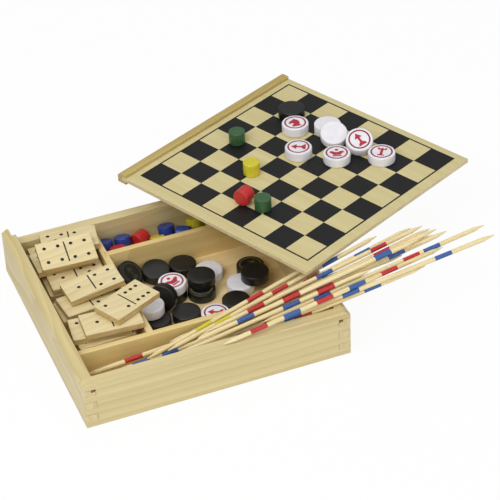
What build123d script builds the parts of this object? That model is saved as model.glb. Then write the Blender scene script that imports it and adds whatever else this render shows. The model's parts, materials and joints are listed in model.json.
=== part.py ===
"""A wooden games compendium: a divided pine case with a sliding lid that is also a game board,
shown open, with the lid laid across the case and the pieces of its games heaped in and on it.

Millimetres. The origin is the centre of the case's underside. +X runs to the right along the
front wall, +Y to the back wall, +Z up. The case stands on its underside.
"""
from build123d import *
import os
from math import atan, atan2, cos, degrees, radians, sin, tan

os.makedirs("parts", exist_ok=True)

# ---- the case ----
case_width = 180.0        # along X, outside
case_depth = 180.0        # along Y, outside
case_height = 34.0        # front and side walls
back_height = 25.2        # the back wall is lower, so that the lid slides in over it
wall = 8.0                # thickness of all four walls
base_thickness = 3.0      # plywood floor, let into a rebate
rebate_width = 4.0        # how far the floor reaches under the walls
finger_count = 7          # fingers of the corner joints over the full height
edge_bevel_width = 3.5    # bevel along the outer top edge of the side walls
edge_bevel_fall = 2.0
groove_depth = 3.0        # the lid's groove in three walls
groove_base = 27.0        # height of the groove's lower face
groove_play = 0.3         # groove height less the board's thickness

# ---- the dividers ----
divider_thickness = 4.5
divider_top = 25.0        # they stop short of the groove
housing_depth = 2.0       # each divider's end sits in a housing this deep
front_bay_depth = 33.0    # the sticks' compartment, front to back
left_bay_width = 49.0     # the dominoes' compartment
rear_bay_depth = 33.0     # the pegs' compartment

# ---- the lid ----
board_thickness = 3.0
board_side_play = 0.4     # between the board's edge and the bottom of the groove
batten_width = 8.0        # the handle strip glued along the board's rear edge
batten_height = 7.4
batten_bevel = 2.0
tongue_length = 4.0       # how far the board goes into the batten
lid_turn = -64.45         # heading of the lid's length as it lies across the case, in degrees
lid_rear_edge = 90.0      # from the board pattern's centre to the batten's outer edge
lid_side_shift = -2.0     # the board pattern lies off the board's middle by this much
lid_right = 25.5          # where the pattern's centre lies: right of the case's side
lid_behind = 56.6         # and behind the case's centre

# ---- the pieces of the games ----
piece_gap = 0.05          # air between pieces that lie on each other
side_gap = 0.2            # air between pieces that lie beside each other
disc_diameter = 19.0
disc_thickness = 6.95
disc_edge = 0.8           # rounding of a disc's edges
peg_diameter = 11.6
peg_height = 9.6
peg_edge = 0.7
domino_length = 38.4
domino_width = 22.4
domino_thickness = 4.45
domino_edge = 0.5
stick_end_play = 1.0      # a stick is this much short of the compartment at each end
stick_diameter = 3.0
stick_point = 8.0         # length of each tapered end
stick_tip_diameter = 0.5
stack_discs = 6           # draughts in the stack that carries the lid's rear corner
prop_dominoes = 3         # dominoes on edge in the lower row of the prop under the lid
bundle_rise = 8.9         # slope of the heap of sticks over the right-hand wall, in degrees

# ---- what follows from them ----
half_width = case_width / 2
half_depth = case_depth / 2
inner_x = half_width - wall
inner_y = half_depth - wall
floor_z = base_thickness
finger = case_height / finger_count
groove_top = groove_base + board_thickness + groove_play
front_bay_back = -inner_y + front_bay_depth
centre_bay_front = front_bay_back + divider_thickness
left_bay_right = -inner_x + left_bay_width
centre_bay_left = left_bay_right + divider_thickness
rear_bay_front = inner_y - rear_bay_depth
centre_bay_back = rear_bay_front - divider_thickness
disc_pitch = disc_diameter + side_gap
disc_layer = disc_thickness + piece_gap
domino_layer = domino_thickness + piece_gap
stick_layer = stick_diameter + 2 * piece_gap
stick_pitch = stick_diameter + 2 * piece_gap
stick_length = 2 * (inner_x - stick_end_play)
lid_seat = floor_z + stack_discs * disc_layer


# ---- the case ----
def finger_slots(first):
    """Heights of the middle of every second finger, from the given one up."""
    return [(number + 0.5) * finger for number in range(first, finger_count, 2)]


def side_wall_section(side):
    """End view of a side wall: bevelled outer top edge, lid groove and floor rebate inside."""
    outer, inner = side * half_width, side * inner_x
    groove_x = side * (inner_x + groove_depth)
    rebate_x = side * (inner_x + rebate_width)
    return [
        (outer, 0),
        (outer, case_height - edge_bevel_fall),
        (side * (half_width - edge_bevel_width), case_height),
        (inner, case_height),
        (inner, groove_top),
        (groove_x, groove_top),
        (groove_x, groove_base),
        (inner, groove_base),
        (inner, base_thickness),
        (rebate_x, base_thickness),
        (rebate_x, 0),
    ]


def side_wall(side, housings):
    """One side wall, with the fingers of its corner joints and its dividers' housings."""
    corner_x = side * (half_width - wall / 2)
    notch_length = batten_width + side_gap + 0.1
    with BuildPart() as blank:
        with BuildSketch(Plane.XZ):
            with BuildLine():
                Polyline(*side_wall_section(side), close=True)
            make_face()
        extrude(amount=half_depth, both=True)
        for height in finger_slots(0):
            with Locations((corner_x, -half_depth + wall / 2, height)):
                Box(wall, wall, finger, mode=Mode.SUBTRACT)
            if height < back_height:
                with Locations((corner_x, half_depth - wall / 2, height)):
                    Box(wall, wall, finger, mode=Mode.SUBTRACT)
        with Locations((side * (inner_x + groove_depth / 2), half_depth - notch_length / 2, case_height)):
            Box(groove_depth, notch_length, 2 * (case_height - back_height), mode=Mode.SUBTRACT)
        for front in housings:
            middle = (side * (inner_x + housing_depth / 2), front + divider_thickness / 2,
                      (floor_z + divider_top) / 2)
            with Locations(middle):
                Box(housing_depth, divider_thickness, divider_top - floor_z, mode=Mode.SUBTRACT)
    return blank.part


left_wall = side_wall(-1, [front_bay_back])
left_wall.label = "left_wall"
export_step(left_wall, "parts/left_wall.step")

right_wall = side_wall(1, [front_bay_back, centre_bay_back])
right_wall.label = "right_wall"
export_step(right_wall, "parts/right_wall.step")

with BuildPart() as front_wall:
    with Locations((0, -half_depth + wall / 2, case_height / 2)):
        Box(case_width, wall, case_height)
    for height in finger_slots(1):
        for side in (-1, 1):
            with Locations((side * (half_width - wall / 2), -half_depth + wall / 2, height)):
                Box(wall, wall, finger, mode=Mode.SUBTRACT)
    with Locations((0, -inner_y - groove_depth / 2, (groove_base + groove_top) / 2)):
        Box(2 * (inner_x + groove_depth), groove_depth, groove_top - groove_base, mode=Mode.SUBTRACT)
    with Locations((0, -inner_y - rebate_width / 2, base_thickness / 2)):
        Box(2 * (inner_x + rebate_width), rebate_width, base_thickness, mode=Mode.SUBTRACT)
    for side in (-1, 1):
        with BuildSketch(Plane.XZ.offset(half_depth - wall)):
            with BuildLine():
                Polyline(
                    (side * half_width, case_height - edge_bevel_fall),
                    (side * (half_width - edge_bevel_width), case_height),
                    (side * half_width, case_height),
                    close=True,
                )
            make_face()
        extrude(amount=wall, mode=Mode.SUBTRACT)
front_wall.part.label = "front_wall"
export_step(front_wall.part, "parts/front_wall.step")

with BuildPart() as back_wall:
    with Locations((0, half_depth - wall / 2, back_height / 2)):
        Box(case_width, wall, back_height)
    for height in finger_slots(1):
        for side in (-1, 1):
            with Locations((side * (half_width - wall / 2), half_depth - wall / 2, height)):
                Box(wall, wall, finger, mode=Mode.SUBTRACT)
    with Locations((0, inner_y + rebate_width / 2, base_thickness / 2)):
        Box(2 * (inner_x + rebate_width), rebate_width, base_thickness, mode=Mode.SUBTRACT)
    housing_middle = (left_bay_right + divider_thickness / 2, inner_y + housing_depth / 2,
                      (floor_z + divider_top) / 2)
    with Locations(housing_middle):
        Box(divider_thickness, housing_depth, divider_top - floor_z, mode=Mode.SUBTRACT)
back_wall.part.label = "back_wall"
export_step(back_wall.part, "parts/back_wall.step")

with BuildPart() as base_panel:
    with Locations((0, 0, base_thickness / 2)):
        Box(2 * (inner_x + rebate_width), 2 * (inner_y + rebate_width), base_thickness)
base_panel.part.label = "base_panel"
export_step(base_panel.part, "parts/base_panel.step")

divider_height = divider_top - floor_z

with BuildPart(Plane.XY.offset(floor_z)) as front_divider:
    with Locations((0, front_bay_back, 0)):
        Box(2 * (inner_x + housing_depth), divider_thickness, divider_height,
            align=(Align.CENTER, Align.MIN, Align.MIN))
    with Locations((left_bay_right, centre_bay_front, 0)):
        Box(divider_thickness, housing_depth, divider_height,
            align=(Align.MIN, Align.MAX, Align.MIN), mode=Mode.SUBTRACT)
front_divider.part.label = "front_divider"
export_step(front_divider.part, "parts/front_divider.step")

with BuildPart(Plane.XY.offset(floor_z)) as left_divider:
    with Locations((left_bay_right, centre_bay_front - housing_depth, 0)):
        Box(divider_thickness, inner_y - centre_bay_front + 2 * housing_depth, divider_height,
            align=(Align.MIN, Align.MIN, Align.MIN))
    with Locations((centre_bay_left, centre_bay_back, 0)):
        Box(housing_depth, divider_thickness, divider_height,
            align=(Align.MAX, Align.MIN, Align.MIN), mode=Mode.SUBTRACT)
left_divider.part.label = "left_divider"
export_step(left_divider.part, "parts/left_divider.step")

with BuildPart(Plane.XY.offset(floor_z)) as rear_divider:
    with Locations((centre_bay_left - housing_depth, centre_bay_back, 0)):
        Box(inner_x - centre_bay_left + 2 * housing_depth, divider_thickness, divider_height,
            align=(Align.MIN, Align.MIN, Align.MIN))
rear_divider.part.label = "rear_divider"
export_step(rear_divider.part, "parts/rear_divider.step")

# ---- the lid: a plywood board tongued into a batten ----
# Its own frame lies on the board's underside, with x along the lid's length and y across it.
lid_plane = Plane(
    origin=(half_width + lid_right, lid_behind, lid_seat),
    x_dir=(cos(radians(lid_turn)), sin(radians(lid_turn)), 0),
    z_dir=(0, 0, 1),
)
board_width = 2 * (inner_x + groove_depth - board_side_play)
batten_inner = -lid_rear_edge + batten_width
board_front = batten_inner + inner_y + inner_y + groove_depth - board_side_play

with BuildPart(lid_plane) as lid_board:
    with Locations((batten_inner - tongue_length, lid_side_shift, 0)):
        Box(board_front - batten_inner + tongue_length, board_width, board_thickness,
            align=(Align.MIN, Align.CENTER, Align.MIN))
lid_board.part.label = "lid_board"
export_step(lid_board.part, "parts/lid_board.step")

with BuildPart(lid_plane) as lid_batten:
    with Locations((-lid_rear_edge, lid_side_shift, board_thickness / 2)):
        Box(batten_width, board_width, batten_height, align=(Align.MIN, Align.CENTER, Align.CENTER))
    batten_rear = lid_batten.faces().sort_by(Axis(lid_plane.origin, lid_plane.x_dir))[0]
    chamfer(batten_rear.edges().sort_by(Axis.Z)[-1], length=batten_bevel)
    with Locations((batten_inner, lid_side_shift, 0)):
        Box(tongue_length, board_width, board_thickness,
            align=(Align.MAX, Align.CENTER, Align.MIN), mode=Mode.SUBTRACT)
lid_batten.part.label = "lid_batten"
export_step(lid_batten.part, "parts/lid_batten.step")

# ---- one of each kind of piece, standing on its own origin ----
with BuildPart() as disc:
    Cylinder(disc_diameter / 2, disc_thickness, align=(Align.CENTER, Align.CENTER, Align.MIN))
    fillet(disc.edges().filter_by(GeomType.CIRCLE), radius=disc_edge)

with BuildPart() as peg:
    Cylinder(peg_diameter / 2, peg_height, align=(Align.CENTER, Align.CENTER, Align.MIN))
    chamfer(peg.edges().filter_by(GeomType.CIRCLE), length=peg_edge)

with BuildPart() as domino:
    Box(domino_length, domino_width, domino_thickness, align=(Align.CENTER, Align.CENTER, Align.MIN))
    fillet(domino.edges().filter_by(Axis.Z), radius=domino_edge)

# A stick lies along x with its left-hand point on the origin.
with BuildPart() as stick:
    with BuildSketch(Plane.XZ):
        with BuildLine():
            Polyline(
                (0, 0),
                (0, stick_tip_diameter / 2),
                (stick_point, stick_diameter / 2),
                (stick_length - stick_point, stick_diameter / 2),
                (stick_length, stick_tip_diameter / 2),
                (stick_length, 0),
                close=True,
            )
        make_face()
    revolve(axis=Axis.X)


def group(name, piece, places, plane=Plane.XY):
    """Like pieces that share a node: a copy of the piece at each place."""
    with BuildPart(plane) as pieces:
        with Locations(*places):
            add(piece.part)
    pieces.part.label = name
    export_step(pieces.part, f"parts/{name}.step")


def turned(x, y, z, heading=0.0, lean=0.0, towards=0.0):
    """A piece's place: turned by heading on its own axis, then leaning over towards a heading."""
    place = Location((x, y, z), (0, 0, towards)) * Location((0, 0, 0), (0, lean, 0))
    return place * Location((0, 0, 0), (0, 0, heading - towards))


# ---- dominoes: a heap in the left-hand compartment, and a stack that carries the lid ----
piece_base = floor_z + piece_gap


def pile(levels, x, y, twist):
    """Dominoes lying on each other from the floor up, each a little askew."""
    return [
        turned(x + (level % 2) * 0.6, y - (level % 2) * 0.5, piece_base + level * domino_layer,
               twist * (-1) ** level)
        for level in range(levels)
    ]


def on_pile(x, y, level, heading):
    """A domino that lies flat on the given number of others."""
    return turned(x, y, piece_base + level * domino_layer, heading)


def on_divider(x, y, heading, fall):
    """A domino that rests on the left divider's top edge and falls away to the left."""
    height = divider_top + 3 * piece_gap + (x - left_bay_right) * tan(radians(fall))
    return Location((x, y, height), (0, -fall, 0)) * Location((0, 0, 0), (0, 0, heading))


bay_middle = (-inner_x + left_bay_right) / 2
rear_slot = inner_y - 13.0
centre_slot = inner_y - 43.9
middle_slot = inner_y - 72.8
front_slot = front_bay_back + 22.0

underneath = (
    pile(4, bay_middle, rear_slot, 1.2)
    + pile(3, bay_middle + 1.2, centre_slot, -1.5)
    + pile(3, bay_middle + 0.4, middle_slot, 1.5)
    + pile(4, bay_middle - 0.3, front_slot, -2.0)
)
group("dominoes_underneath", domino, underneath)
group("domino_rear_low", domino, [on_pile(bay_middle - 1.5, 55.4, 4, 0.0)])
group("domino_rear", domino, [on_pile(bay_middle + 8.5, 67.4, 5, -9.5)])
group("domino_leaning_back", domino,
      [Location((bay_middle + 1.5, 51.2, 28.9), (0, 0, -3.0)) * Location((0, 0, 0), (18.5, 0, 0))])
group("domino_centre", domino, [on_pile(bay_middle + 3.5, centre_slot, 3, -2.0)])
group("domino_top", domino, [on_divider(-49.0, 17.2, 3.5, 6.4)])
group("domino_below_top", domino, [on_pile(bay_middle + 2.7, middle_slot, 3, 5.8)])
group("domino_front_low", domino, [on_pile(bay_middle - 0.8, front_slot + 1.8, 4, -7.0)])
group("domino_front", domino, [on_pile(bay_middle + 6.4, front_slot - 1.2, 5, -4.0)])
group("domino_over_divider", domino, [turned(-36.8, -19.2, 30.5, 27.0, 1.0, 0.0)])


def on_edge(row, number, heading):
    """A domino of the prop under the lid, standing on its long edge in a row."""
    place = Location((half_width + 43.0, 52.0, (row + 0.5) * (domino_width + piece_gap)), (0, 0, heading))
    return place * Location((0, number * (domino_thickness + side_gap), 0), (90, 0, 0))


group("dominoes_under_lid", domino, [on_edge(0, number, 25.5) for number in range(prop_dominoes)]
      + [on_edge(1, number + 0.5, 25.5) for number in range(prop_dominoes - 1)])


# ---- draughts and chess discs in the centre compartment ----
def bay_spot(right, forward, level=0):
    """A disc's place, counted in disc widths from the compartment's left rear corner."""
    return Location((centre_bay_left + right * disc_pitch, centre_bay_back - forward * disc_pitch,
                     piece_base + level * disc_layer))


def centred(x, y, z, lean, towards):
    """The place of a disc whose middle is at a point, leaning over towards a heading."""
    return turned(x, y, z, 0, lean, towards) * Location((0, 0, -disc_thickness / 2))


group("black_discs", disc, [
    centred(centre_bay_left + 29.0, centre_bay_back - 10.15, 8.35, 10.0, -90.0),
    bay_spot(1.68, 1.81), bay_spot(1.69, 3.16), bay_spot(3.50, 3.24),
])
group("white_disc_red_mark", disc, [bay_spot(1.68, 1.81, 1)])
group("white_disc_arrow", disc, [bay_spot(2.58, 3.64)])
group("black_disc_leaning", disc,
      [centred(centre_bay_left + 10.0, centre_bay_back - 10.1, 11.85, 40.0, -45.0)])
group("black_disc_on_edge", disc, [centred(centre_bay_left + 22.0, centre_bay_back - 44.6, 13.1, 75.0, 229.0)])
group("black_disc_pair", disc, [bay_spot(2.63, 2.15), bay_spot(2.729, 1.885, 1)])
group("white_disc_corner", disc, [bay_spot(0.53, 2.74, 1)])
group("black_discs_shaded", disc, [
    bay_spot(2.526, 0.505), bay_spot(4.6875, 1.588), bay_spot(4.531, 2.448, 1), bay_spot(0.625, 3.125),
])
group("white_discs_shaded", disc, [bay_spot(3.255, 1.224), bay_spot(4.01, 2.38), bay_spot(5.13, 4.036)])
stack_place = (inner_x - 9.7, rear_bay_front + 19.0, piece_base)
group("stack_white_discs", disc, [
    Location(stack_place) * Location((0, 0, level * disc_layer)) for level in range(0, stack_discs, 2)
])
group("stack_black_discs", disc, [
    Location(stack_place) * Location((0, 0, level * disc_layer)) for level in range(1, stack_discs, 2)
])

# ---- discs and pegs on the lid, in the lid's own frame ----
top = board_thickness + piece_gap
group("lid_black_disc", disc, [Location((-46.9, 46.3, top))], lid_plane)
group("lid_knight", disc, [Location((-31.7, 33.3, top))], lid_plane)
group("lid_pawn", disc, [Location((-9.4, 11.6, top))], lid_plane)
group("lid_crown", disc, [Location((16.0, 23.0, top))], lid_plane)
group("lid_rook", disc, [Location((39.2, 43.6, top))], lid_plane)
group("lid_blank_disc", disc, [Location((-13.4, 47.2, top))], lid_plane)
group("lid_blank_leaning", disc, [centred(0.4, 38.0, top + 7.35, 26.0, -46.0)], lid_plane)
group("lid_bishop", disc, [centred(19.9, 42.6, top + 7.4, 25.0, -46.0)], lid_plane)
group("lid_green_pegs", peg, [Location((-53.6, -3.9, top)), Location((15.1, -52.1, top))], lid_plane)
group("lid_yellow_peg", peg, [Location((-19.3, -26.0, top))], lid_plane)


def leaning_peg(x, y, lean, towards):
    """A peg in the rear compartment that stands on its rim, leaning over towards a heading."""
    rim = Location((x, y, piece_base), (0, 0, towards)) * Location((peg_diameter / 2 - peg_edge, 0, 0))
    return rim * Location((0, 0, 0), (0, lean, 0)) * Location((peg_edge - peg_diameter / 2, 0, 0))


def lying_peg(x, y, surface, heading):
    """A peg on its side on a surface, centred on a spot."""
    place = Location((x, y, surface + peg_diameter / 2), (0, 0, heading))
    return place * Location((-peg_height / 2, 0, 0), (0, 90, 0))


group("lid_red_peg", peg, [lying_peg(0.5, -54.9, top, 100.0)], lid_plane)

# ---- pegs in the rear compartment ----
peg_back = inner_y - peg_diameter / 2 - side_gap
back_lean = 18.0
leaning_back = peg_back - peg_height * sin(radians(back_lean)) - 0.2
group("blue_pegs", peg, [leaning_peg(centre_bay_left + 6.0, leaning_back, back_lean, 90.0),
                         leaning_peg(centre_bay_left + 19.0, leaning_back, back_lean, 90.0)])
group("red_pegs", peg, [leaning_peg(centre_bay_left + 12.5, leaning_back - 10.6, back_lean, 90.0),
                        lying_peg(3.4, peg_back - 2.0, piece_base, 30.0)])
group("shaded_blue_pegs", peg, [leaning_peg(22.8, leaning_back, back_lean, 90.0),
                                lying_peg(32.6, peg_back - 8.6, piece_base, -30.0)])
group("shaded_yellow_pegs", peg, [lying_peg(13.0, peg_back - 12.6, piece_base, 0.0),
                                  leaning_peg(43.8, leaning_back, back_lean, 90.0),
                                  Location((56.0, peg_back - 2.7, piece_base))])
group("shaded_green_pegs", peg, [Location((46.0, peg_back - 16.5, piece_base)),
                                 Location((58.0, peg_back - 15.5, piece_base))])
group("shaded_red_peg", peg, [Location((31.5, rear_bay_front + 6.2, piece_base))])

# ---- sticks: a heap in the front compartment that runs out over the right-hand wall ----
rise = radians(bundle_rise)


def heap_plane(layer):
    """The sloping plane of one layer of the heap, through the right-hand wall's inner edge."""
    height = case_height + stick_diameter / 2 + 0.1
    slope = Plane(origin=(inner_x, 0, height), x_dir=(cos(rise), 0, sin(rise)),
                  z_dir=(-sin(rise), 0, cos(rise)))
    return slope.offset(layer * stick_layer)


def crossing(lane, heading, reach):
    """A stick's place in its layer: the lane in which it crosses the wall, counted in stick widths
    from the front wall, its heading, and how far it reaches past the wall."""
    place = Location((0, -inner_y + lane * stick_pitch, 0), (0, 0, heading))
    return place * Location((reach - stick_length, 0, 0))


group("sticks_first_layer", stick, [
    crossing(8.97, -1.5, 88), crossing(7.42, -3.0, 58), crossing(5.55, -4.3, -2),
    crossing(4.26, -3.2, 14), crossing(2.97, -2.2, -1), crossing(1.81, -0.4, 40),
    crossing(0.68, -0.1, 66),
], heap_plane(0))
group("sticks_second_layer", stick, [
    crossing(11.42, 9.3, 52), crossing(9.35, 7.2, 74), crossing(7.26, 5.4, 84),
    crossing(5.16, 3.6, 92), crossing(3.10, 1.8, 115), crossing(0.68, -0.8, 116),
], heap_plane(1))
group("sticks_third_layer", stick, [
    crossing(7.90, 5.6, 80), crossing(5.81, 4.0, 86), crossing(3.39, 1.8, 32),
], heap_plane(2))
group("stick_top", stick, [crossing(4.52, 3.0, 70)], heap_plane(3))
group("stick_under_lid", stick, [crossing(13.45, 10.9, 37)], heap_plane(1))

front_rise = 5.2
front_plane = Plane(origin=(3.5, -half_depth + 1.0, case_height + stick_diameter / 2 + 0.1),
                    x_dir=(cos(radians(front_rise)), 0, sin(radians(front_rise))),
                    z_dir=(-sin(radians(front_rise)), 0, cos(radians(front_rise))))
group("stick_on_front_wall", stick, [Location((0, 0, 0), (0, 0, 6.1))], front_plane)

floor_stick = floor_z + piece_gap + stick_diameter / 2
group("sticks_on_floor", stick, [
    Location((-stick_length / 2, -inner_y + 3.0 + number * 3.5, floor_stick)) for number in range(7)
] + [
    Location((-stick_length / 2, -inner_y + 8.25 + number * 3.5, floor_stick + 2.5)) for number in range(5)
])
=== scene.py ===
"""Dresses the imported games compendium: varnished pine case, printed plywood board, drilled
dominoes, painted draughts with their chess figures, painted pegs and banded pick-up sticks.

Metres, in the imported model's own frame. Sizes that belong to a small piece are written in
millimetres and brought to metres by MM.
"""
import json
from math import cos, pi, radians, sin
import bmesh
import bpy
from mathutils import Matrix, Vector


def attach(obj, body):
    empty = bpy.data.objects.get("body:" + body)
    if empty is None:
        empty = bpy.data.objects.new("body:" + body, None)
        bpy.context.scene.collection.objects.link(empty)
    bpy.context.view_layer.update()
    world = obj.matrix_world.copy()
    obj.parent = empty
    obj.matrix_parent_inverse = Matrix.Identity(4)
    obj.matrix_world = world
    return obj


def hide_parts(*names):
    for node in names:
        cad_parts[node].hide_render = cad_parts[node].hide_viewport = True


MM = 0.001

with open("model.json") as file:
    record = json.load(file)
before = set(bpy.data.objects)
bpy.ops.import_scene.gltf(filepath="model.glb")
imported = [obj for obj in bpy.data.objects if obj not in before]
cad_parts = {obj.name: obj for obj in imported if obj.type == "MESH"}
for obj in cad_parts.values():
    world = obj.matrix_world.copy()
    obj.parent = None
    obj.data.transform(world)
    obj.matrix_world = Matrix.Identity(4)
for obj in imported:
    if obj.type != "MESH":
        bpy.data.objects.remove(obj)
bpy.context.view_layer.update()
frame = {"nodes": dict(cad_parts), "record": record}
body_of_node = {
    node: body
    for body, nodes in frame["record"]["behaviour"]["bodies"].items()
    for node in nodes
}
slot_of_node = {part["node"]: part["material_slot"] for part in frame["record"]["subparts"]}


# ---- materials ----
WAVE_GAP = 0.314                # the gap between the rings of a wave texture whose scale is 1
HEART = (0.0, 0.031, 0.043)     # how far a board's own axis lies from the heart of the tree


def put(tree, kind, inputs=None, **settings):
    """Adds a node; a value given for an input is either a socket to link or a plain value."""
    made = tree.nodes.new(kind)
    for key, value in settings.items():
        setattr(made, key, value)
    for key, value in (inputs or {}).items():
        if isinstance(value, bpy.types.NodeSocket):
            tree.links.new(value, made.inputs[key])
        else:
            made.inputs[key].default_value = value
    return made


def reckon(tree, operation, *values):
    """The result of a sum on sockets or plain values."""
    return put(tree, "ShaderNodeMath", dict(enumerate(values)), operation=operation).outputs[0]


def weighed(tree, values, shares):
    """Several values added up, each with its share."""
    total = reckon(tree, "MULTIPLY", values[0], shares[0])
    for value, share in zip(values[1:], shares[1:]):
        total = reckon(tree, "MULTIPLY_ADD", value, share, total)
    return total


def blank_material(name):
    """A new material, with its tree and its shader."""
    made = bpy.data.materials.new(name)
    made.use_nodes = True
    return made, made.node_tree, made.node_tree.nodes["Principled BSDF"]


def finish_surface(tree, shader, colour, roughness, height, relief, depth):
    """Gives a shader its colour, its roughness and a fine relief, its depth in millimetres."""
    tree.links.new(colour, shader.inputs["Base Color"])
    tree.links.new(roughness, shader.inputs["Roughness"])
    bump = put(tree, "ShaderNodeBump", {"Height": height, "Strength": relief,
                                        "Distance": depth * MM})
    tree.links.new(bump.outputs["Normal"], shader.inputs["Normal"])


def tone(red, green, blue):
    """A colour as it looks on a screen, 0 to 255, brought to the values that shaders work in."""
    linear = []
    for part in (red, green, blue):
        share = part / 255
        linear.append(share / 12.92 if share <= 0.04045 else ((share + 0.055) / 1.055) ** 2.4)
    return (*linear, 1.0)


def ramp(tree, value, stops):
    """A colour that follows a value through stops of (position, colour)."""
    made = put(tree, "ShaderNodeValToRGB", {"Fac": value})
    keys = made.color_ramp.elements
    while len(keys) < len(stops):
        keys.new(0.5)
    for key, (position, colour) in zip(keys, stops):
        key.position = position
        key.color = colour
    return made.outputs["Color"]


def grain(tree, heading, spin=(0.0, 0.0, 0.0), shift=0.0, ring_gap=5.0):
    """Wood grain along a heading. Returns its growth lines, slow streaks and fine fibres."""
    coords = put(tree, "ShaderNodeTexCoord").outputs["Object"]
    turned = put(tree, "ShaderNodeMapping", {
        "Vector": coords, "Rotation": (spin[0], spin[1], -heading),
        "Location": (shift, shift * 0.7, 0.0),
    }).outputs["Vector"]

    def stretched(along, across, detail, roughness):
        """Noise drawn out along the grain, by how fast it changes along and across it."""
        scaled = put(tree, "ShaderNodeMapping", {"Vector": turned,
                                                 "Scale": (along, across, across)})
        return put(tree, "ShaderNodeTexNoise", {
            "Vector": scaled.outputs["Vector"], "Scale": 1.0, "Detail": detail,
            "Roughness": roughness,
        }).outputs["Fac"]

    streaks = stretched(4.0, 110.0, 3.0, 0.55)
    fibres = stretched(40.0, 1300.0, 2.0, 0.6)
    bend = stretched(7.0, 22.0, 2.0, 0.5)
    offset = reckon(tree, "MULTIPLY", bend, 0.022)
    sideways = put(tree, "ShaderNodeCombineXYZ", {"Y": offset, "Z": offset}).outputs[0]
    pushed = put(tree, "ShaderNodeVectorMath", {0: turned, 1: sideways}).outputs["Vector"]
    heart = put(tree, "ShaderNodeMapping", {"Vector": pushed, "Location": HEART,
                                            "Scale": (0.06, 1.0, 1.0)})
    rings = put(tree, "ShaderNodeTexWave", {
        "Vector": heart.outputs["Vector"], "Scale": WAVE_GAP / (ring_gap * MM), "Distortion": 0.25,
        "Detail": 1.0, "Detail Scale": 0.4,
    }, wave_type="RINGS", rings_direction="X", wave_profile="SAW").outputs["Fac"]
    return rings, streaks, fibres


def varnished_wood(name, pale, warm, deep, heading, spin=(0.0, 0.0, 0.0), shift=0.0, ring_gap=5.0,
                   ring_share=0.2, roughness=0.42):
    """Varnished wood: pale between the growth lines, warmer in the streaks, deep at the lines."""
    made, tree, shader = blank_material(name)
    rings, streaks, fibres = grain(tree, heading, spin, shift, ring_gap)
    depth = weighed(tree, (rings, streaks, fibres), (ring_share, 0.6, 0.16))
    colour = ramp(tree, depth, [(0.30, tone(*pale)), (0.55, tone(*warm)), (0.90, tone(*deep))])
    rough = reckon(tree, "MULTIPLY_ADD", fibres, 0.25, roughness - 0.12)
    finish_surface(tree, shader, colour, rough, fibres, 0.25, 0.1)
    return made


def painted_wood(name, colour, worn, roughness, relief=0.2):
    """Gloss paint on turned wood: the grain shows through a little and the colour is uneven."""
    made, tree, shader = blank_material(name)
    coords = put(tree, "ShaderNodeTexCoord").outputs["Object"]
    cloud = put(tree, "ShaderNodeTexNoise", {"Vector": coords, "Scale": 210.0, "Detail": 4.0,
                                             "Roughness": 0.6}).outputs["Fac"]
    fine = put(tree, "ShaderNodeMapping", {"Vector": coords, "Scale": (90.0, 1500.0, 700.0)})
    fibre = put(tree, "ShaderNodeTexNoise", {"Vector": fine.outputs["Vector"], "Scale": 1.0,
                                             "Detail": 2.0}).outputs["Fac"]
    uneven = reckon(tree, "MULTIPLY_ADD", fibre, 0.35, cloud)
    mixed = ramp(tree, uneven, [(0.45, tone(*colour)), (0.95, tone(*worn))])
    rough = reckon(tree, "MULTIPLY_ADD", cloud, 0.22, roughness - 0.11)
    finish_surface(tree, shader, mixed, rough, uneven, relief, 0.06)
    return made


ALONG_Y = radians(90)
LID_HEADING = radians(-64.45)   # the heading of the board's ranks, as it lies drawn out
DOMINO_GRAIN = 0.1

wood = {
    "x": varnished_wood("pine_along_x", (220, 204, 154), (208, 190, 138), (180, 152, 96), 0.0),
    "y": varnished_wood("pine_along_y", (220, 204, 158), (206, 188, 138), (176, 148, 96), ALONG_Y,
                        shift=0.4),
    "y_top": varnished_wood("pine_along_y_top", (214, 197, 144), (199, 179, 122), (170, 142, 88),
                            ALONG_Y, shift=0.4),
    "divider_x": varnished_wood("divider_pine_x", (234, 211, 148), (222, 195, 130), (194, 158, 96),
                                0.0, shift=0.9, ring_gap=7.0),
    "divider_y": varnished_wood("divider_pine_y", (230, 208, 150), (218, 193, 132), (190, 156, 98),
                                ALONG_Y, shift=1.3, ring_gap=7.0),
    "batten": varnished_wood("hardwood_batten", (200, 178, 112), (184, 160, 92), (150, 124, 62),
                             LID_HEADING + ALONG_Y, shift=0.2, ring_gap=2.4),
    "floor": varnished_wood("plywood_floor", (244, 222, 168), (232, 204, 148), (206, 174, 118), 0.0,
                            shift=2.1, ring_gap=14.0, roughness=0.6),
    "board_edge": varnished_wood("plywood_edge", (222, 208, 168), (208, 192, 148), (172, 148, 104),
                                 LID_HEADING, spin=(radians(90), 0.0, 0.0), ring_gap=1.4,
                                 roughness=0.6),
    "domino": varnished_wood("domino_lime_wood", (230, 214, 168), (220, 202, 152), (192, 164, 108),
                             DOMINO_GRAIN, shift=0.7, ring_gap=6.0, ring_share=0.22),
    # Painted shade: the domino wood again, darker, for the sides that face away from the light.
    "domino_side": varnished_wood("domino_sawn_side", (206, 182, 128), (190, 162, 106),
                                  (158, 126, 74), DOMINO_GRAIN, shift=0.2, ring_gap=2.6,
                                  roughness=0.6),
    "stick": varnished_wood("stick_birch", (240, 224, 176), (230, 210, 156), (200, 172, 116), 0.0,
                            shift=0.5, ring_gap=2.0, roughness=0.55),
}
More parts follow.
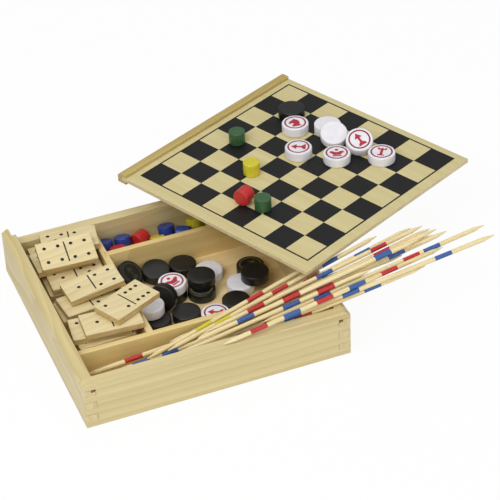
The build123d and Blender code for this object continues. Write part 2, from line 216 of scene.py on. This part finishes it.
paint = {
    "black": painted_wood("black_gloss", (12, 12, 12), (24, 24, 23), 0.40),
    "white": painted_wood("white_gloss", (238, 237, 241), (224, 222, 227), 0.38),
    "red": painted_wood("red_gloss", (198, 44, 44), (178, 38, 40), 0.36),
    "blue": painted_wood("blue_gloss", (40, 66, 150), (34, 56, 128), 0.36),
    "band_blue": painted_wood("band_blue_paint", (58, 98, 164), (50, 84, 146), 0.5),
    "green": painted_wood("green_gloss", (56, 96, 56), (46, 82, 50), 0.36),
    "yellow": painted_wood("yellow_gloss", (214, 202, 44), (198, 186, 46), 0.36),
    "pip": painted_wood("pip_paint", (26, 22, 18), (42, 35, 28), 0.6),
    "print_red": painted_wood("figure_red", (188, 34, 52), (170, 34, 52), 0.42, 0.1),
    "print_navy": painted_wood("figure_navy", (52, 40, 62), (66, 50, 70), 0.42, 0.1),
    "print_gold": painted_wood("figure_gold", (104, 99, 58), (70, 67, 44), 0.38, 0.1),
    "print_faint": painted_wood("figure_faint_gold", (62, 60, 42), (44, 43, 34), 0.38, 0.1),
}

SQUARE = 19.0               # the side of a square of the printed field, in millimetres
HALF_FIELD = 4.0            # the rest of the field's sizes are counted in squares
LINE_OUTSIDE = 0.03         # from the field's edge to the middle of the frame line
LINE_HALF_WIDTH = 0.034


def printed_board():
    """The board's upper face: veneer with the chequered field and its thin frame line printed on.

    The face's own map counts squares from the field's corner.
    """
    made, tree, shader = blank_material("printed_board")
    field = put(tree, "ShaderNodeUVMap", uv_map="squares").outputs["UV"]
    rings, streaks, fibres = grain(tree, LID_HEADING, shift=0.3, ring_gap=9.0)
    depth = weighed(tree, (rings, streaks, fibres), (0.09, 0.45, 0.18))
    veneer = ramp(tree, depth, [(0.22, tone(216, 203, 152)), (0.45, tone(205, 191, 138)),
                                (0.80, tone(182, 163, 106))])
    ink = ramp(tree, fibres, [(0.3, tone(9, 9, 9)), (0.9, tone(22, 22, 20))])
    pale_squares = put(tree, "ShaderNodeTexChecker", {"Vector": field, "Scale": 1.0}).outputs["Fac"]
    split = put(tree, "ShaderNodeSeparateXYZ", {"Vector": field}).outputs
    away = [reckon(tree, "ABSOLUTE", reckon(tree, "SUBTRACT", split[axis], HALF_FIELD))
            for axis in ("X", "Y")]
    reach = reckon(tree, "MAXIMUM", *away)
    inside = reckon(tree, "LESS_THAN", reach, HALF_FIELD)
    line = reckon(tree, "COMPARE", reach, HALF_FIELD + LINE_OUTSIDE, LINE_HALF_WIDTH)
    dark_squares = reckon(tree, "MULTIPLY", inside, reckon(tree, "SUBTRACT", 1.0, pale_squares))
    inked = reckon(tree, "MAXIMUM", dark_squares, line)
    # A Mix node's colours are its sockets 6 and 7, and the mixed colour is its output 2.
    colour = put(tree, "ShaderNodeMix", {"Factor": inked, 6: veneer, 7: ink},
                 data_type="RGBA").outputs[2]
    rough = reckon(tree, "MULTIPLY_ADD", inked, 0.12, 0.44)
    shader.inputs["Specular IOR Level"].default_value = 0.35
    finish_surface(tree, shader, colour, rough, fibres, 0.15, 0.1)
    return made


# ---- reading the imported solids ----
UP, FRONT, RIGHT = Vector((0, 0, 1)), Vector((0, -1, 0)), Vector((1, 0, 0))


def merged(node):
    """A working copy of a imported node's mesh with its loose triangles joined."""
    mesh = bmesh.new()
    mesh.from_mesh(frame["nodes"][node].data)
    bmesh.ops.remove_doubles(mesh, verts=mesh.verts, dist=1e-6)
    return mesh


def separate_solids(mesh):
    """The faces of each solid in a mesh."""
    seen = set()
    for first in mesh.faces:
        if first in seen:
            continue
        seen.add(first)
        shell = [first]
        for face in shell:
            for edge in face.edges:
                for other in edge.link_faces:
                    if other not in seen:
                        seen.add(other)
                        shell.append(other)
        yield shell


def flat_directions(faces):
    """Directions of the flat sides of a solid, the largest area first."""
    areas = []
    for face in faces:
        for entry in areas:
            if abs(entry[1].dot(face.normal)) > 0.9999:
                entry[0] += face.calc_area()
                break
        else:
            areas.append([face.calc_area(), face.normal.copy()])
    areas.sort(key=lambda entry: -entry[0])
    return [direction for _, direction in areas]


def facing(direction, *ways):
    """A direction or its opposite, by the first of some ways that it isn't square to."""
    for way in ways:
        if abs(direction.dot(way)) > 1e-4:
            return direction if direction.dot(way) > 0 else -direction
    return direction


def middle(points, axes):
    """The middle of a solid's extent along three axes."""
    centre = Vector()
    for axis in axes:
        reach = [point.dot(axis) for point in points]
        centre += axis * (min(reach) + max(reach)) / 2
    return centre


def frames_of(node, boxed=False):
    """The place of each solid of a node as a matrix: z through its flat sides, x along a box."""
    mesh = merged(node)
    found = []
    for shell in separate_solids(mesh):
        directions = flat_directions(shell)
        up = facing(directions[0], UP, FRONT, RIGHT)
        if boxed:
            across = next(way for way in directions[1:] if abs(way.dot(up)) < 0.1)
            along = across.cross(up)
        else:
            along = RIGHT if abs(up.x) < 0.9 else -FRONT
        along = facing((along - up * along.dot(up)).normalized(), RIGHT, FRONT)
        across = up.cross(along)
        points = {vertex.co.copy().freeze() for face in shell for vertex in face.verts}
        turn = Matrix((along, across, up)).transposed().to_4x4()
        found.append(Matrix.Translation(middle(points, (along, across, up))) @ turn)
    mesh.free()
    return sorted(found, key=lambda place: tuple(round(part, 5) for part in place.translation))


# ---- making pieces ----
def in_scene(name, data):
    """A new object that shows some data."""
    made = bpy.data.objects.new(name, data)
    bpy.context.scene.collection.objects.link(made)
    return made


def piece(name, mesh, node, slot, replaced=True):
    """Shows a mesh as a piece that rides on the body of a node and takes its place."""
    shown = in_scene(name, mesh)
    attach(shown, body_of_node[node])
    if replaced:
        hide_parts(node)


def from_bmesh(name, mesh, materials, smooth_angle=None):
    """A finished mesh from a working one, with outward faces."""
    bmesh.ops.recalc_face_normals(mesh, faces=mesh.faces)
    data = bpy.data.meshes.new(name)
    mesh.to_mesh(data)
    mesh.free()
    for material in materials:
        data.materials.append(material)
    if smooth_angle is not None:
        data.shade_smooth()
        data.set_sharp_from_angle(angle=radians(smooth_angle))
    return data


def joined(name, parts):
    """One mesh made of several, keeping each one's materials."""
    whole = bmesh.new()
    materials = []
    for part in parts:
        start = len(whole.faces)
        whole.from_mesh(part)
        whole.faces.ensure_lookup_table()
        slots = []
        for material in part.materials:
            if material not in materials:
                materials.append(material)
            slots.append(materials.index(material))
        for face in whole.faces[start:]:
            face.material_index = slots[face.material_index]
        bpy.data.meshes.remove(part)
    data = bpy.data.meshes.new(name)
    whole.to_mesh(data)
    whole.free()
    for material in materials:
        data.materials.append(material)
    return data


def with_modifier(data, kind, settings, tree_inputs=None):
    """A mesh as one modifier leaves it; the inputs of a node tree go by their identifiers."""
    name = data.name
    carrier = in_scene(name, data)
    modifier = carrier.modifiers.new(kind.title(), kind)
    for key, value in settings.items():
        setattr(modifier, key, value)
    for identifier, value in (tree_inputs or {}).items():
        modifier[identifier] = value
    result = bpy.data.meshes.new_from_object(
        carrier.evaluated_get(bpy.context.evaluated_depsgraph_get()))
    bpy.data.objects.remove(carrier)
    bpy.data.meshes.remove(data)
    result.name = name
    return result


def eased(data, width, segments=2):
    """A mesh with its sharp edges rounded, by a width in millimetres."""
    return with_modifier(data, "BEVEL", {
        "limit_method": "ANGLE", "angle_limit": radians(30), "harden_normals": True,
        "segments": segments, "width": width * MM,
    })


# ---- the case and the lid ----
def eased_board(node, name, width, materials, slot, sort_faces=None):
    """A sawn part of the case with its sharp edges eased."""
    mesh = merged(node)
    if sort_faces:
        sort_faces(mesh)
    piece(name, eased(from_bmesh(name, mesh, materials), width), node, slot)


def golden_top(mesh):
    """Gives a side wall's upward faces the second, more golden pine."""
    for face in mesh.faces:
        face.material_index = 1 if face.normal.z > 0.3 else 0


eased_board("front_wall", "front_wall_pine", 0.5, [wood["x"]], "case_wood")
eased_board("back_wall", "back_wall_pine", 0.5, [wood["x"]], "case_wood")
eased_board("left_wall", "left_wall_pine", 0.5, [wood["y"], wood["y_top"]], "case_wood", golden_top)
eased_board("right_wall", "right_wall_pine", 0.5, [wood["y"], wood["y_top"]], "case_wood",
            golden_top)
eased_board("front_divider", "front_divider_pine", 0.4, [wood["divider_x"]], "divider_wood")
eased_board("rear_divider", "rear_divider_pine", 0.4, [wood["divider_x"]], "divider_wood")
eased_board("left_divider", "left_divider_pine", 0.4, [wood["divider_y"]], "divider_wood")
eased_board("base_panel", "floor_plywood", 0.3, [wood["floor"]], "plywood")
eased_board("lid_batten", "batten_hardwood", 0.4, [wood["batten"]], "batten_wood")

# The printed field's own directions, and its middle as the lid lies at rest.
along_board = Vector((cos(LID_HEADING), sin(LID_HEADING), 0))
across_board = Vector((-sin(LID_HEADING), cos(LID_HEADING), 0))
field_middle = Vector((115.5, 56.6, 0)) * MM


def map_squares(mesh):
    """Gives the board's upper face its map of squares, and the other faces the second material."""
    squares = mesh.loops.layers.uv.new("squares")
    for face in mesh.faces:
        face.material_index = 0 if face.normal.z > 0.9 else 1
        for loop in face.loops:
            away = (loop.vert.co - field_middle) / (SQUARE * MM)
            loop[squares].uv = (away.dot(along_board) + HALF_FIELD,
                                away.dot(across_board) + HALF_FIELD)


eased_board("lid_board", "printed_board_panel", 0.3, [printed_board(), wood["board_edge"]],
            "board_face", map_squares)


# ---- turned pieces: draughts and pegs ----
FACETS = 64             # round a turned piece and a printed ring


def circle(mesh, radius, height):
    """Points round z, in millimetres, or the one point in the middle where the radius is 0."""
    return [
        mesh.verts.new((radius * MM * cos(2 * pi * step / FACETS),
                        radius * MM * sin(2 * pi * step / FACETS), height * MM))
        for step in range(FACETS if radius else 1)
    ]


def turned_part(profile, material, place):
    """A piece turned on a lathe: radii and heights in millimetres, from the lower middle round."""
    mesh = bmesh.new()
    rows = [circle(mesh, radius, height) for radius, height in profile]
    for lower, upper in zip(rows, rows[1:]):
        for step in range(FACETS):
            after = (step + 1) % FACETS
            corners = [lower[step % len(lower)], lower[after % len(lower)],
                       upper[after % len(upper)], upper[step % len(upper)]]
            mesh.faces.new(list(dict.fromkeys(corners)))
    mesh.transform(place)
    return from_bmesh("turned", mesh, [material], smooth_angle=35)


def rounded(radius, half, edge, steps=4):
    """A disc's profile with rounded edges, and faces that dip a little towards the middle."""
    dip, dip_start, dip_middle = radius * 0.55, 0.08, 0.12
    arc = [(pi / 2) * step / steps for step in range(steps + 1)]
    lower = [(radius - edge + edge * sin(angle), -half + edge - edge * cos(angle)) for angle in arc]
    upper = [(across, -height) for across, height in reversed(lower)]
    return [(0, -half + dip_middle), (dip, -half + dip_start)] + lower + upper + [
        (dip, half - dip_start), (0, half - dip_middle)]


DISC_HALF = 3.475       # half of a disc's thickness
DISC = rounded(9.5, DISC_HALF, 0.8)
PEG = rounded(5.8, 4.8, 0.65)

painted_nodes = [node for node in frame["nodes"] if slot_of_node[node].endswith("_paint")]
places = {}
for profile, nodes in ((DISC, [node for node in painted_nodes if "peg" not in node]),
                       (PEG, [node for node in painted_nodes if "peg" in node])):
    for node in nodes:
        slot = slot_of_node[node]
        places[node] = frames_of(node)
        parts = [turned_part(profile, paint[slot.split("_")[0]], place) for place in places[node]]
        piece(f"{node}_turned", joined(f"{node}_turned", parts), node, slot)

# ---- the prints on the draughts ----
figures = {
    "knight": [[(-2.4, -3.9), (2.6, -3.9), (2.7, -3.0), (1.9, -2.4), (2.7, -0.4), (2.2, 1.8),
                (0.9, 3.2), (-0.3, 3.9), (-0.9, 3.0), (-2.6, 2.0), (-3.9, 0.3), (-3.4, -0.7),
                (-1.8, -0.2), (-0.9, -0.6), (-1.9, -2.3), (-2.5, -3.0)]],
    "bishop": [[(-2.6, -4.2), (2.6, -4.2), (2.2, -3.0), (1.0, -1.9), (-1.0, -1.9), (-2.2, -3.0)],
               [(-0.75, -2.0), (0.75, -2.0), (0.65, 1.4), (-0.65, 1.4)],
               [(-2.4, 1.1), (2.4, 1.1), (1.6, 2.2), (0.0, 4.4), (-1.6, 2.2)]],
    "rook": [[(-2.0, -3.9), (2.0, -3.9), (1.8, -2.9), (-1.8, -2.9)],
             [(-0.8, -3.0), (0.8, -3.0), (0.7, 1.9), (-0.7, 1.9)],
             [(-2.5, 1.8), (2.5, 1.8), (2.7, 3.7), (1.5, 3.7), (1.4, 2.9), (0.6, 2.9), (0.5, 3.7),
              (-0.5, 3.7), (-0.6, 2.9), (-1.4, 2.9), (-1.5, 3.7), (-2.7, 3.7)]],
    "crown": [[(-2.6, -3.8), (2.6, -3.8), (2.4, -2.8), (-2.4, -2.8)],
              [(-1.9, -2.4), (1.9, -2.4), (2.6, -1.2), (4.2, 0.4), (3.6, 1.6), (2.0, 1.3),
               (0.8, 0.4), (-0.8, 0.4), (-2.0, 1.3), (-3.6, 1.6), (-4.2, 0.4), (-2.6, -1.2)],
              [(0.0, 1.6), (1.1, 2.5), (0.7, 3.7), (-0.7, 3.7), (-1.1, 2.5)]],
}
FIGURE_SCALE = 1.22     # brings the drawn outlines to their printed size
PRINT_LIFT = 0.03       # the print stands this far above the turned face, so that it shows clean
RING_RADII = (6.6, 7.3, 7.75)
# The inks of a print: its inner ring and figure, then its outer ring.
RED = ("print_red", "print_navy")
GOLD = ("print_gold", "print_gold")
FAINT = ("print_faint", "print_faint")


def ring_mesh(inner, outer, height, material, place):
    """A thin printed ring on a disc's face."""
    mesh = bmesh.new()
    near, far = circle(mesh, inner, height), circle(mesh, outer, height)
    for step in range(FACETS):
        after = (step + 1) % FACETS
        mesh.faces.new((near[step], far[step], far[after], near[after]))
    mesh.transform(place)
    return from_bmesh("ring", mesh, [material])


def figure_mesh(figure, height, turn, material, place):
    """A printed chess figure on a disc's face, turned on it."""
    mesh = bmesh.new()
    spin = Matrix.Rotation(radians(turn), 4, "Z")
    for outline in figures[figure]:
        corners = [Vector((x * FIGURE_SCALE * MM, y * FIGURE_SCALE * MM, height * MM))
                   for x, y in outline]
        mesh.faces.new([mesh.verts.new(spin @ corner) for corner in corners])
    mesh.transform(place)
    return from_bmesh("figure", mesh, [material])


def print_on(name, node, place, figure, turn, inks):
    """The double ring on a disc's upper face, and the figure in it where there is one."""
    height = DISC_HALF + PRINT_LIFT
    fill, edge = (paint[ink] for ink in inks)
    inner, between, outer = RING_RADII
    parts = [ring_mesh(inner, between, height, fill, place),
             ring_mesh(between, outer, height, edge, place)]
    if figure:
        parts.append(figure_mesh(figure, height, turn, fill, place))
    slot = "red_paint" if inks == RED else "yellow_paint"
    piece(name, joined(name, parts), node, slot, replaced=False)


# Name of the print, node, which of its discs, figure, the figure's turn in degrees, and inks.
for name, node, number, figure, turn, inks in (
        ("knight_print", "lid_knight", 0, "knight", -8, RED),
        ("bishop_print_a", "lid_pawn", 0, "bishop", 62, RED),
        ("crown_print", "lid_crown", 0, "crown", -20, RED),
        ("rook_print", "lid_rook", 0, "rook", -35, RED),
        ("bishop_print_b", "lid_bishop", 0, "bishop", 12, RED),
        ("crown_print_tray", "white_disc_red_mark", 0, "crown", 25, RED),
        ("bishop_print_tray", "white_disc_arrow", 0, "bishop", 65, RED),
        ("gold_print_leaning", "black_disc_leaning", 0, "bishop", 30, FAINT),
        ("gold_print_pair", "black_disc_pair", 0, None, 0, GOLD),
        ("gold_print_right", "black_discs_shaded", -1, "bishop", -54, GOLD)):
    print_on(name, node, places[node][number], figure, turn, inks)


# ---- dominoes: blanks with pips and a bar drilled into them ----
DOMINO_SIZE = (38.4, 22.4, 4.45)
DRILLING = {
    "Pip diameter": 2.55, "Pip depth": 0.9, "Bar length": 16.6, "Bar width": 0.95, "Bar depth": 0.8,
    "Top": DOMINO_SIZE[2] / 2,
}
HALF_CENTRE = 9.2       # from the bar to the middle of a half
PIP_ALONG = 4.7         # from there to a pip, along the domino
PIP_ACROSS = 5.8
PIP_SPOTS = {
    0: [], 1: [(0, 0)], 2: [(-1, 1), (1, -1)], 3: [(-1, 1), (0, 0), (1, -1)],
    4: [(-1, -1), (-1, 1), (1, -1), (1, 1)], 5: [(-1, -1), (-1, 1), (0, 0), (1, -1), (1, 1)],
    6: [(-1, -1), (0, -1), (1, -1), (-1, 1), (0, 1), (1, 1)],
}


def domino_blank():
    """A domino with eased edges, before its pips are drilled; its sides take painted shade."""
    mesh = bmesh.new()
    sides = Matrix.Diagonal((*(size * MM for size in DOMINO_SIZE), 1))
    bmesh.ops.create_cube(mesh, size=1.0, matrix=sides)
    # The upper and lower faces take the domino wood. The sides take its darker copy, which is
    # painted shade.
    for face in mesh.faces:
        face.material_index = 0 if abs(face.normal.z) > 0.5 else 1
    data = from_bmesh("domino_blank", mesh, [wood["domino"], wood["domino_side"]])
    return in_scene("domino_blank", eased(data, 0.45, segments=3))


def drilling_tree(blank):
    """Drills a pip at every point of the mesh that it is given, and the bar across the middle."""
    tree = bpy.data.node_groups.new("drill_domino", "GeometryNodeTree")
    face = tree.interface
    face.new_socket("Pip spots", in_out="INPUT", socket_type="NodeSocketGeometry")
    sizes = {label: face.new_socket(label, in_out="INPUT", socket_type="NodeSocketFloat")
             for label in DRILLING}
    face.new_socket("Domino", in_out="OUTPUT", socket_type="NodeSocketGeometry")
    inputs = put(tree, "NodeGroupInput").outputs
    radius = reckon(tree, "MULTIPLY", inputs["Pip diameter"], 0.5)
    drill = put(tree, "GeometryNodeMeshUVSphere", {"Segments": 20, "Rings": 10, "Radius": radius})
    depth_share = reckon(tree, "DIVIDE", inputs["Pip depth"], radius)
    squash = put(tree, "ShaderNodeCombineXYZ", {"X": 1.0, "Y": 1.0, "Z": depth_share}).outputs[0]
    bits = put(tree, "GeometryNodeInstanceOnPoints", {
        "Points": inputs["Pip spots"], "Instance": drill.outputs["Mesh"], "Scale": squash})
    bar_size = put(tree, "ShaderNodeCombineXYZ", {
        "X": inputs["Bar width"], "Y": inputs["Bar length"], "Z": inputs["Bar depth"]}).outputs[0]
    bar = put(tree, "GeometryNodeMeshCube", {"Size": bar_size})
    raised = put(tree, "ShaderNodeCombineXYZ", {"Z": inputs["Top"]}).outputs[0]
    bar_up = put(tree, "GeometryNodeTransform", {"Geometry": bar.outputs["Mesh"],
                                                 "Translation": raised})
    cutters = put(tree, "GeometryNodeJoinGeometry")
    tree.links.new(bits.outputs["Instances"], cutters.inputs["Geometry"])
    tree.links.new(bar_up.outputs["Geometry"], cutters.inputs["Geometry"])
    real = put(tree, "GeometryNodeRealizeInstances", {"Geometry": cutters.outputs["Geometry"]})
    inked = put(tree, "GeometryNodeSetMaterial", {"Geometry": real.outputs["Geometry"],
                                                  "Material": paint["pip"]})
    body = put(tree, "GeometryNodeObjectInfo", {"Object": blank})
    cut = put(tree, "GeometryNodeMeshBoolean", {
        "Mesh 1": body.outputs["Geometry"], "Mesh 2": inked.outputs["Geometry"]},
        operation="DIFFERENCE", solver="EXACT")
    put(tree, "NodeGroupOutput", {"Domino": cut.outputs["Mesh"]})
    return tree, {label: socket.identifier for label, socket in sizes.items()}


blank = domino_blank()
drilling, drilling_inputs = drilling_tree(blank)


def domino_mesh(left, right, place):
    """A drilled domino in its place, from the pips on its halves."""
    spots = bpy.data.meshes.new("pip_spots")
    spots.from_pydata([
        ((side * HALF_CENTRE + along * PIP_ALONG) * MM, across * PIP_ACROSS * MM,
         DRILLING["Top"] * MM)
        for side, count in ((-1, left), (1, right)) for along, across in PIP_SPOTS[count]
    ], [], [])
    sizes = {drilling_inputs[label]: size * MM for label, size in DRILLING.items()}
    made = with_modifier(spots, "NODES", {"node_group": drilling}, sizes)
    made.transform(place)
    return made


# Pips left and right on each domino of a node, in the order of the dominoes' places.
pips = {
    "domino_rear_low": [(2, 4)],
    "domino_rear": [(5, 2)],
    "domino_leaning_back": [(4, 4)],
    "domino_centre": [(3, 5)],
    "domino_top": [(1, 4)],
    "domino_below_top": [(1, 5)],
    "domino_front_low": [(3, 6)],
    "domino_front": [(1, 0)],
    "domino_over_divider": [(2, 6)],
    "dominoes_underneath": [(0, 0), (1, 1), (2, 2), (3, 3), (5, 5), (6, 6), (0, 2), (0, 3), (0, 5),
                            (5, 6), (0, 4), (0, 6), (1, 6), (1, 2)],
    "dominoes_under_lid": [(4, 6), (2, 3), (4, 5), (3, 4), (1, 3)],
}
for node, values in pips.items():
    parts = [domino_mesh(left, right, place)
             for place, (left, right) in zip(frames_of(node, boxed=True), values)]
    piece(f"{node}_drilled", joined(f"{node}_drilled", parts), node, "domino_wood")
bpy.data.objects.remove(blank)


# ---- pick-up sticks ----
STICK = {
    "Length": 162.0, "Diameter": 3.0, "Point length": 8.0, "Tip diameter": 0.5, "Band length": 12.0,
}
STICK_POINTS = 163      # one at every millimetre
MOST_BANDS = 5
OFF_THE_STICK = -100.0  # where a band that a stick doesn't have is put


def stick_tree():
    """A pointed stick along x: a swept ring whose faces take the paint of the band they lie in."""
    tree = bpy.data.node_groups.new("banded_stick", "GeometryNodeTree")
    face = tree.interface
    labels = {label: face.new_socket(label, in_out="INPUT", socket_type="NodeSocketFloat")
              for label in STICK}
    labels["Wood"] = face.new_socket("Wood", in_out="INPUT", socket_type="NodeSocketMaterial")
    for number in range(MOST_BANDS):
        label = f"Band {number + 1}"
        labels[label] = face.new_socket(label, in_out="INPUT", socket_type="NodeSocketFloat")
        label = f"Paint {number + 1}"
        labels[label] = face.new_socket(label, in_out="INPUT", socket_type="NodeSocketMaterial")
    face.new_socket("Stick", in_out="OUTPUT", socket_type="NodeSocketGeometry")
    inputs = put(tree, "NodeGroupInput").outputs
    far = put(tree, "ShaderNodeCombineXYZ", {"X": inputs["Length"]}).outputs[0]
    line = put(tree, "GeometryNodeCurvePrimitiveLine", {"End": far})
    steps = put(tree, "GeometryNodeResampleCurve", {"Curve": line.outputs["Curve"],
                                                    "Count": STICK_POINTS})
    position = put(tree, "GeometryNodeInputPosition").outputs[0]
    here = put(tree, "ShaderNodeSeparateXYZ", {"Vector": position}).outputs["X"]
    from_end = reckon(tree, "MINIMUM", here, reckon(tree, "SUBTRACT", inputs["Length"], here))
    share = reckon(tree, "MINIMUM", reckon(tree, "DIVIDE", from_end, inputs["Point length"]), 1.0)
    swell = reckon(tree, "SUBTRACT", inputs["Diameter"], inputs["Tip diameter"])
    width = reckon(tree, "MULTIPLY_ADD", share, swell, inputs["Tip diameter"])
    radius = reckon(tree, "MULTIPLY", width, 0.5)
    thick = put(tree, "GeometryNodeSetCurveRadius", {"Curve": steps.outputs["Curve"],
                                                     "Radius": radius})
    ring = put(tree, "GeometryNodeCurvePrimitiveCircle", {"Resolution": 14, "Radius": 1.0})
    tube = put(tree, "GeometryNodeCurveToMesh", {
        "Curve": thick.outputs["Curve"], "Profile Curve": ring.outputs["Curve"], "Fill Caps": True,
        "Scale": radius})
    smooth = put(tree, "GeometryNodeSetShadeSmooth", {"Geometry": tube.outputs["Mesh"]})
    shown = put(tree, "GeometryNodeSetMaterial", {"Geometry": smooth.outputs["Geometry"],
                                                  "Material": inputs["Wood"]})
    half_band = reckon(tree, "MULTIPLY", inputs["Band length"], 0.5)
    for number in range(MOST_BANDS):
        within = reckon(tree, "COMPARE", here, inputs[f"Band {number + 1}"], half_band)
        shown = put(tree, "GeometryNodeSetMaterial", {
            "Geometry": shown.outputs["Geometry"], "Selection": within,
            "Material": inputs[f"Paint {number + 1}"]})
    put(tree, "NodeGroupOutput", {"Stick": shown.outputs["Geometry"]})
    return tree, {label: socket.identifier for label, socket in labels.items()}


sweeping, stick_inputs = stick_tree()


def stick_mesh(bands, place):
    """A banded stick in its place. A band is (place, paint), from the stick's left-hand point."""
    inputs = {stick_inputs[label]: size * MM for label, size in STICK.items()}
    inputs[stick_inputs["Wood"]] = wood["stick"]
    for number in range(MOST_BANDS):
        along, colour = bands[number] if number < len(bands) else (OFF_THE_STICK, "red")
        inputs[stick_inputs[f"Band {number + 1}"]] = along * MM
        inputs[stick_inputs[f"Paint {number + 1}"]] = paint[
            "band_blue" if colour == "blue" else colour]
    made = with_modifier(bpy.data.meshes.new("stick"), "NODES", {"node_group": sweeping}, inputs)
    made.transform(place)
    return made


def tip_middle(points, tip):
    """The middle of a stick's small end face, from one of the points on it."""
    near = [point for point in points if (point - tip).length < 1.2 * MM * STICK["Tip diameter"]]
    return sum(near, Vector()) / len(near)


WALL_X = 0.082          # the sticks of a node are put in order by where they pass this line


def stick_places(node):
    """Where each stick of a node lies, from its left-hand point on, the rearmost stick last."""
    mesh = merged(node)
    found = []
    for shell in separate_solids(mesh):
        points = [vertex.co.copy() for face in shell for vertex in face.verts]
        start = tip_middle(points, min(points, key=lambda point: point.x))
        end = tip_middle(points, max(points, key=lambda point: point.x))
        along = (end - start).normalized()
        across = UP.cross(along).normalized()
        turn = Matrix((along, across, along.cross(across))).transposed().to_4x4()
        found.append(Matrix.Translation(start) @ turn)
    mesh.free()
    return sorted(found, key=lambda place: place.translation.y
                  + (WALL_X - place.translation.x) * place[1][0] / place[0][0])


THREE = [(42, "yellow"), (84, "red"), (124, "blue")]
MIRRORED_THREE = [(38, "blue"), (78, "red"), (120, "yellow")]
TWO = [(36, "red"), (110, "blue")]
FIVE = [(25 + 24 * number, ("red", "blue")[number % 2]) for number in range(5)]
# The bands of each stick, the sticks in order from the front wall back.
schemes = {
    "sticks_first_layer": [
        [(38, "blue"), (75, "red"), (124.5, "blue")],
        [(36, "blue"), (72, "red"), (136.5, "blue")],
        [(18, "yellow"), (60, "blue"), (124, "red")],
        [(21, "blue"), (40.5, "blue"), (125, "blue"), (145, "blue")],
        [(34.5, "red"), (109.5, "blue")],
        THREE,
        [(38, "red"), (84, "blue"), (121, "red")],
    ],
    "sticks_second_layer": [
        [(18, "blue"), (59.5, "blue"), (125.5, "blue")],
        [(43, "blue"), (108, "red"), (123, "blue")],
        [(71, "red"), (124, "blue")],
        [(22, "blue"), (57, "red"), (125, "red")],
        [(43, "red"), (85, "red"), (124, "blue")],
        [(41, "yellow"), (85, "red"), (124, "blue")],
    ],
    "sticks_third_layer": [
        [(105.5, "blue"), (130, "red")],
        [(54, "red"), (121, "blue")],
        [(36, "red"), (87, "blue"), (128, "red")],
    ],
    "stick_top": [[(36, "blue"), (69, "red"), (136, "blue")]],
    "stick_under_lid": [[(43.5, "yellow"), (83.5, "red"), (124, "blue")]],
    "stick_on_front_wall": [FIVE],
    "sticks_on_floor": [THREE, TWO, MIRRORED_THREE] * 4,
}
for node, banding in schemes.items():
    parts = [stick_mesh(bands, place) for place, bands in zip(stick_places(node), banding)]
    piece(f"{node}_painted", joined(f"{node}_painted", parts), node, "stick_wood")


# ---- floor, light and camera ----
def pale_floor(reach):
    """A floor that the camera sees as nearly white, with the object's shadow on it."""
    data = bpy.data.meshes.new("studio_floor")
    corners = [(-reach, -reach, 0), (reach, -reach, 0), (reach, reach, 0), (-reach, reach, 0)]
    data.from_pydata(corners, [], [(0, 1, 2, 3)])
    in_scene("studio_floor", data)
    material, tree, shader = blank_material("pale_floor")
    shader.inputs["Base Color"].default_value = (0.86, 0.86, 0.86, 1)
    shader.inputs["Roughness"].default_value = 0.9
    shader.inputs["Specular IOR Level"].default_value = 0.1
    seen = put(tree, "ShaderNodeLightPath").outputs["Is Camera Ray"]
    white = put(tree, "ShaderNodeEmission", {"Color": (1, 1, 1, 1), "Strength": 1.0}).outputs[0]
    mostly = reckon(tree, "MULTIPLY", seen, 0.95)
    blend = put(tree, "ShaderNodeMixShader", {0: mostly, 1: shader.outputs[0], 2: white})
    tree.links.new(blend.outputs[0], tree.nodes["Material Output"].inputs["Surface"])
    data.materials.append(material)


def white_surroundings(strength):
    """A world that the camera sees as white, and that lights the object by its own strength."""
    world = bpy.data.worlds.new("studio")
    bpy.context.scene.world = world
    world.use_nodes = True
    tree = world.node_tree
    seen = put(tree, "ShaderNodeLightPath").outputs["Is Camera Ray"]
    level = put(tree, "ShaderNodeMapRange", {"Value": seen, "To Min": strength, "To Max": 1.0})
    back = tree.nodes["Background"]
    back.inputs["Color"].default_value = (1, 1, 1, 1)
    tree.links.new(level.outputs[0], back.inputs["Strength"])


def lamp(name, size, power, place):
    """A soft square lamp that faces the middle of the object."""
    light = bpy.data.lights.new(name, "AREA")
    light.shape = "SQUARE"
    light.size = size
    light.energy = power
    towards = Vector((0.03, 0.02, 0.02)) - Vector(place)
    turn = towards.to_track_quat("-Z", "Y").to_matrix().to_4x4()
    in_scene(name, light).matrix_world = Matrix.Translation(place) @ turn


pale_floor(6.0)
white_surroundings(0.42)
lamp("key_lamp", 0.8, 10.0, (-0.7, -0.5, 1.1))
lamp("fill_lamp", 1.4, 5.5, (0.5, -1.2, 0.7))
lamp("top_lamp", 1.2, 4.0, (0.2, 0.5, 1.5))

# The camera looks at a point on the table from the photograph's direction.
AZIMUTH, ELEVATION, ROLL = radians(20.2), radians(36.44), radians(-2.68)
DISTANCE = 1.408
AIM = Vector((0.0720, 0.0416, 0.0))
SENSOR = 36.0
FOCAL_LENGTH = SENSOR * 2026.0 / 500      # 2026 points of a picture that is 500 points wide
forward = Vector((sin(AZIMUTH) * cos(ELEVATION), cos(AZIMUTH) * cos(ELEVATION), -sin(ELEVATION)))
level_right = Vector((cos(AZIMUTH), -sin(AZIMUTH), 0))
level_up = level_right.cross(forward)
right = cos(ROLL) * level_right + sin(ROLL) * level_up
above = -sin(ROLL) * level_right + cos(ROLL) * level_up
camera_data = bpy.data.cameras.new("camera")
camera_data.sensor_width = SENSOR
camera_data.lens = FOCAL_LENGTH
camera_data.clip_end = 20
camera = in_scene("camera", camera_data)
turn = Matrix((right, above, -forward)).transposed().to_4x4()
camera.matrix_world = Matrix.Translation(AIM - forward * DISTANCE) @ turn
bpy.context.scene.camera = camera
bpy.context.scene.view_settings.view_transform = "Standard"
